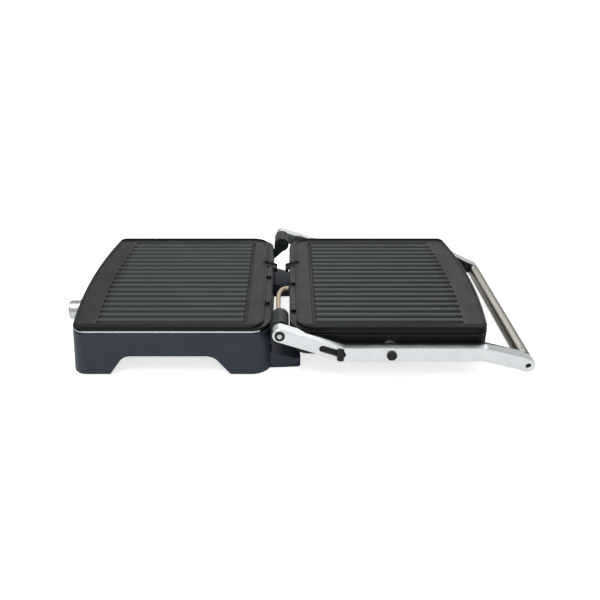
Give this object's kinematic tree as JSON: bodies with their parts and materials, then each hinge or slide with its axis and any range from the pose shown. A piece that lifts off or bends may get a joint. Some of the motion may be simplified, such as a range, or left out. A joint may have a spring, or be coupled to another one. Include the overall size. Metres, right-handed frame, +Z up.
{
  "type": "panini press",
  "caption": "Countertop contact grill opened flat: slate base and lid with ribbed non-stick plates, swinging side arms with a bar handle, floating lid, release slider and dial.",
  "frame": {"origin": "on the standing surface, at the middle of the bounding box of the press opened flat", "axes": "+Z up, +Y from the dial towards the handle bar, +X to the side with the release slider"},
  "size_m": [0.335, 0.6096, 0.081],
  "materials": {
    "slate_shell": "satin dark slate moulding",
    "black_moulding": "fine satin black",
    "hinge_moulding": "dark grey satin",
    "cover_steel": "black powder coat",
    "fastener_steel": "plated steel",
    "rubber": "matt rubber",
    "trim_silver": "bright silver",
    "nonstick_plate": "charcoal non-stick coating on cast aluminium",
    "element_steel": "heat-darkened steel",
    "shield_aluminium": "plain sheet",
    "red_lamp": "clear red lens",
    "green_lamp": "clear green lens",
    "lead_sleeve": "beige heat-proof sleeve",
    "knob_chrome": "satin chrome",
    "arm_aluminium": "satin bead-blasted",
    "bar_stainless": "fine brushed along its length",
    "panel_stainless": "fine brushed"
  },
  "bodies": {
    "base": {"base_shell": "slate_shell", "base_bottom_cover": "cover_steel", "base_cover_screws": "fastener_steel", "rear_leg_right": "slate_shell", "rear_leg_left": "slate_shell", "rubber_feet": "rubber", "lower_trim_ring": "trim_silver", "lower_bezel": "black_moulding", "lower_plate": "nonstick_plate", "lower_heating_element": "element_steel", "lower_heat_shield": "shield_aluminium", "lower_plate_catches": "black_moulding", "dial_ring": "black_moulding", "thermostat": "element_steel", "power_lamp": "red_lamp", "ready_lamp": "green_lamp", "terminal_block": "black_moulding", "cord_gland": "black_moulding", "base_lead_grommet": "black_moulding", "hinge_lead": "lead_sleeve", "hinge_tower_right": "hinge_moulding", "hinge_tower_left": "hinge_moulding", "hinge_pin_right": "fastener_steel", "hinge_pin_left": "fastener_steel", "hinge_washers": "hinge_moulding", "hinge_pin_heads": "fastener_steel"},
    "knob": {"control_knob": "knob_chrome", "thermostat_shaft": "fastener_steel"},
    "arms": {"arm_right": "arm_aluminium", "arm_left": "arm_aluminium", "arm_liner_right": "black_moulding", "arm_liner_left": "black_moulding", "tilt_pin_right": "black_moulding", "tilt_pin_left": "black_moulding", "slot_insert": "black_moulding", "handle_bar": "bar_stainless", "handle_bar_plugs": "arm_aluminium", "handle_end_screws": "black_moulding", "handle_grub_screws": "fastener_steel"},
    "slider": {"release_slider": "black_moulding"},
    "lid": {"lid_shell": "black_moulding", "lid_lead_grommet": "black_moulding", "lid_top_panel": "panel_stainless", "lid_pivot_bosses": "fastener_steel", "upper_trim_ring": "black_moulding", "upper_bezel": "black_moulding", "upper_plate": "nonstick_plate", "upper_heating_element": "element_steel", "upper_heat_shield": "shield_aluminium", "upper_plate_catches": "black_moulding"}
  },
  "joints": [
    {"name": "arm_hinge", "type": "hinge", "parent": "base", "child": "arms", "pos_m": [0, -0.01582, 0.07], "axis": [1, 0, 0], "range_deg": [0, 175], "deforming": ["hinge_lead"]},
    {"name": "lid_tilt", "type": "hinge", "parent": "arms", "child": "lid", "pos_m": [0, 0.12047, 0.043], "axis": [1, 0, 0], "range_deg": [0, 5], "deforming": ["hinge_lead"]},
    {"name": "slider_slide", "type": "slide", "parent": "arms", "child": "slider", "axis": [0, -0.945, 0.3271], "range_m": [0, 0.018], "stiffness_N_per_m": 60},
    {"name": "knob_turn", "type": "hinge", "parent": "base", "child": "knob", "pos_m": [0.045, -0.29583, 0.041], "axis": [0, -1, 0], "range_deg": [0, 270]}
  ]
}
